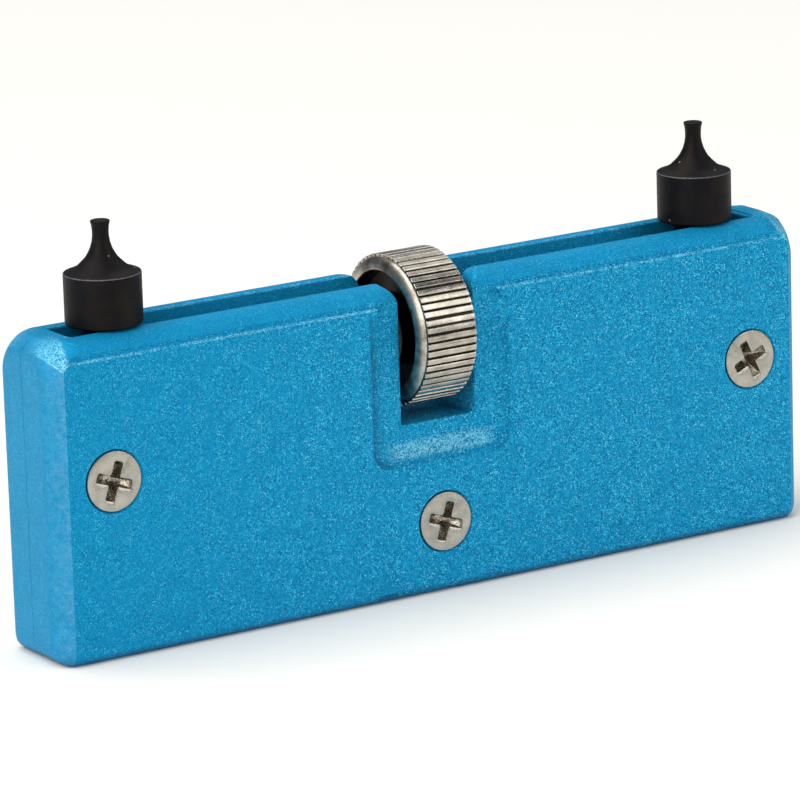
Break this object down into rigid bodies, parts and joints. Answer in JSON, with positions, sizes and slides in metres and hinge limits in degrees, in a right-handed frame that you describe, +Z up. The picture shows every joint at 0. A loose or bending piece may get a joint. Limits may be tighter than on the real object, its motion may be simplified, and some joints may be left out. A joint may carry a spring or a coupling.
{
  "type": "watch case back opener",
  "caption": "Flat two-shell case with a knurled wheel that drives two claws along a top slot, to grip and unscrew watch case backs.",
  "frame": {"origin": "middle of the bottom edge that the tool stands on, on the plane where the two shells meet", "axes": "+X along the case, +Z up towards the claws, -Y out of the front face with the screws"},
  "size_m": [0.09, 0.0156, 0.0428],
  "materials": {
    "blue_case": "satin",
    "nickel": "satin",
    "steel": "satin",
    "brass": "satin",
    "black_oxide": "satin"
  },
  "bodies": {
    "case": {"front_shell": "blue_case", "rear_shell": "blue_case", "left_case_screw": "nickel", "centre_case_screw": "nickel", "right_case_screw": "nickel", "left_inner_bush": "brass", "right_inner_bush": "brass", "left_end_bush": "brass", "right_end_bush": "brass"},
    "spindle": {"adjusting_wheel": "nickel", "lead_screw": "steel", "left_thrust_washer": "steel", "right_thrust_washer": "steel"},
    "left_jaw": {"left_carrier": "black_oxide", "left_claw": "black_oxide"},
    "right_jaw": {"right_carrier": "black_oxide", "right_claw": "black_oxide"}
  },
  "joints": [
    {"name": "wheel_spin", "type": "hinge", "parent": "case", "child": "spindle", "pos_m": [0, 0, 0.0267], "axis": [1, 0, 0], "range_deg": [-540, 11160]},
    {"name": "left_jaw_slide", "type": "slide", "parent": "case", "child": "left_jaw", "axis": [1, 0, 0], "range_m": [-0.00122, 0.02482]},
    {"name": "right_jaw_slide", "type": "slide", "parent": "case", "child": "right_jaw", "axis": [1, 0, 0], "range_m": [-0.02482, 0.00122]}
  ],
  "couplings": [
    {"joint": "left_jaw_slide", "follows": "wheel_spin", "m_per_rad": 0.00012732},
    {"joint": "right_jaw_slide", "follows": "wheel_spin", "m_per_rad": -0.00012732}
  ]
}
